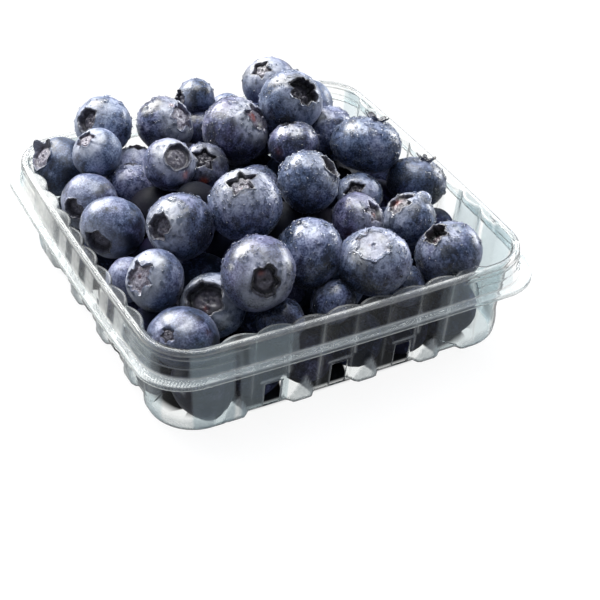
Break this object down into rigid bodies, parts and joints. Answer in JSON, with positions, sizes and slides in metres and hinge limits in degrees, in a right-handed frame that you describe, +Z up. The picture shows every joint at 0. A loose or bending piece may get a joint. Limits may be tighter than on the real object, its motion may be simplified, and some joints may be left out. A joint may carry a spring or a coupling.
{
  "type": "punnet of blueberries",
  "caption": "Shallow square clear plastic punnet with a stepped rim, ribbed walls, small feet and vent slots, heaped with fresh blueberries.",
  "frame": {"origin": "underside of the punnet's flat floor, at the middle of its square", "axes": "+Z up out of the open top; +X and +Y along the punnet's sides"},
  "size_m": [0.1154, 0.1154, 0.0532],
  "materials": {
    "clear_plastic": "thin clear formed plastic sheet, glossy, a little wet",
    "berry_skin": "blue-black fruit skin under a pale waxy bloom, with water drops"
  },
  "bodies": {
    "root": {"punnet": "clear_plastic", "berry_heap": "berry_skin"}
  },
  "joints": []
}
